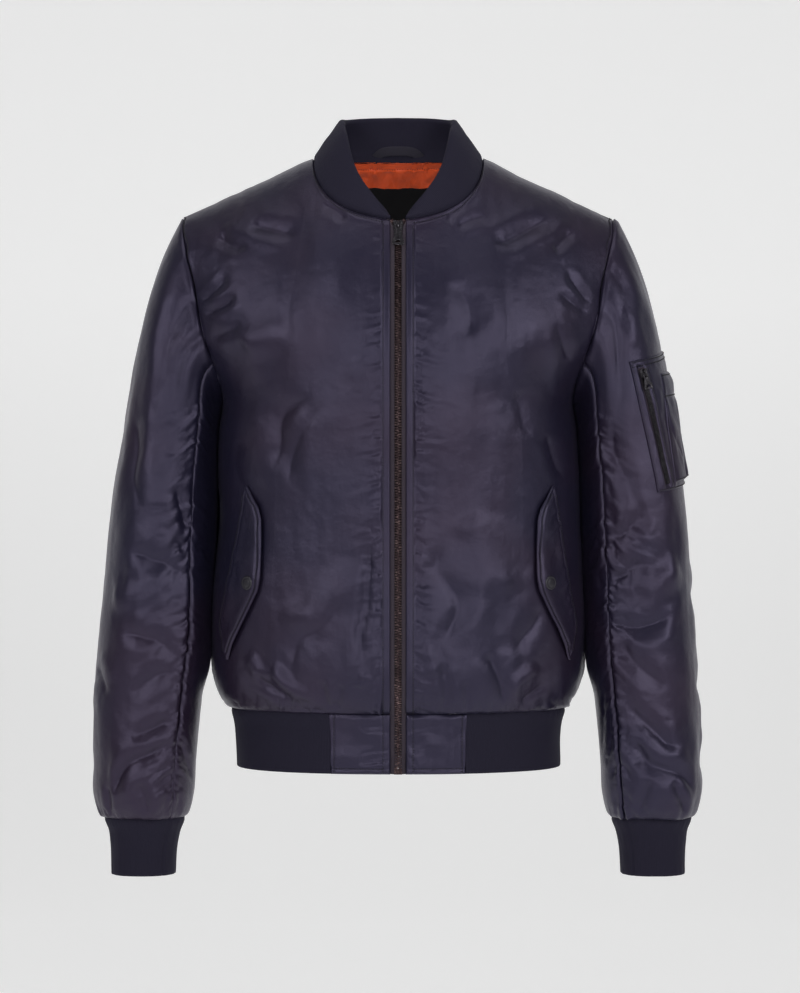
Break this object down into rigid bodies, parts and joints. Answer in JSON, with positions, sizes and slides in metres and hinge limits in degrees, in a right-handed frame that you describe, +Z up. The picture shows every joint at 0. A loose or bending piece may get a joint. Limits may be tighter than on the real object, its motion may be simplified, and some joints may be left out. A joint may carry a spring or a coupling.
{
  "type": "bomber jacket",
  "caption": "Hip-length bomber jacket in padded satin nylon, zipped shut, with rib-knit collar, cuffs and hem, slanted flap pockets and a zipped sleeve pocket.",
  "frame": {"origin": "middle of the neck, at the height where the collar meets the shoulders", "axes": "+Z up, -Y out of the front, +X to the wearer's left"},
  "size_m": [0.648, 0.2919, 0.811],
  "materials": {
    "satin_nylon": "padded satin-weave nylon in dark aubergine navy, soft sheen",
    "rib_knit": "fine rib knit, matte, dark navy",
    "zip_tape": "woven tape, matte",
    "zip_metal": "dark copper-brown metal zip, semi-gloss",
    "snap_metal": "painted snap cap, semi-gloss navy",
    "orange_lining": "bright orange satin lining",
    "dark_lining": "black lining, matte",
    "loop_tape": "woven navy tape"
  },
  "bodies": {
    "jacket": {"front_left": "satin_nylon", "front_right": "satin_nylon", "back": "satin_nylon", "sleeve_top_left": "satin_nylon", "sleeve_top_right": "satin_nylon", "sleeve_under_left": "satin_nylon", "sleeve_under_right": "satin_nylon", "collar": "rib_knit", "hem_rib": "rib_knit", "hem_tab_left": "satin_nylon", "hem_tab_right": "satin_nylon", "cuff_left": "rib_knit", "cuff_right": "rib_knit", "zip_tape_left": "zip_tape", "zip_tape_right": "zip_tape", "zip_chain_left": "zip_metal", "zip_chain_right": "zip_metal", "zip_slider": "zip_metal", "zip_box": "zip_metal", "pocket_flap_left": "satin_nylon", "pocket_flap_right": "satin_nylon", "snap_left": "snap_metal", "snap_right": "snap_metal", "sleeve_pocket": "satin_nylon", "pen_pocket": "satin_nylon", "sleeve_zip_tape": "zip_tape", "sleeve_zip_chain": "zip_metal", "sleeve_zip_slider": "zip_metal", "neck_lining": "orange_lining", "back_lining": "dark_lining", "hanger_loop": "loop_tape"},
    "front_pull_tab": {"zip_pull_tab": "zip_metal"},
    "sleeve_pull_tab": {"sleeve_pull_tab": "zip_metal"}
  },
  "joints": [
    {"name": "front_pull_hinge", "type": "hinge", "parent": "jacket", "child": "front_pull_tab", "pos_m": [0, -0.11027, -0.07801], "axis": [-1, 0, 0], "range_deg": [0, 150]},
    {"name": "sleeve_pull_hinge", "type": "hinge", "parent": "jacket", "child": "sleeve_pull_tab", "pos_m": [0.25848, -0.07767, -0.23081], "axis": [-0.8636, -0.4433, -0.2403], "range_deg": [0, 150]}
  ]
}
